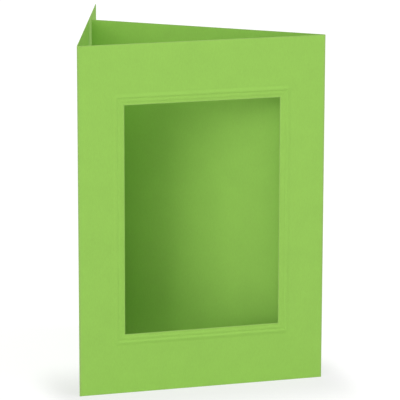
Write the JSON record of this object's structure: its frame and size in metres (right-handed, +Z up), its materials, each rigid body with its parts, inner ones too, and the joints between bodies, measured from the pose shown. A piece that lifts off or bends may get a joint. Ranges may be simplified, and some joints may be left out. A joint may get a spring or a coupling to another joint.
{
  "type": "aperture card",
  "caption": "Folded greeting card with an embossed window in its front panel, a back cover and an inner flap, standing on its long cut edge.",
  "frame": {"origin": "middle of the footprint, on the surface that the card stands on", "axes": "+Z up along the folds, the front panel faces -Y and is parallel to XZ, +X from the cover's fold to the flap's fold"},
  "size_m": [0.1208, 0.1152, 0.169],
  "materials": {
    "green_card": "matte"
  },
  "bodies": {
    "root": {"folded_card": "green_card"}
  },
  "joints": []
}
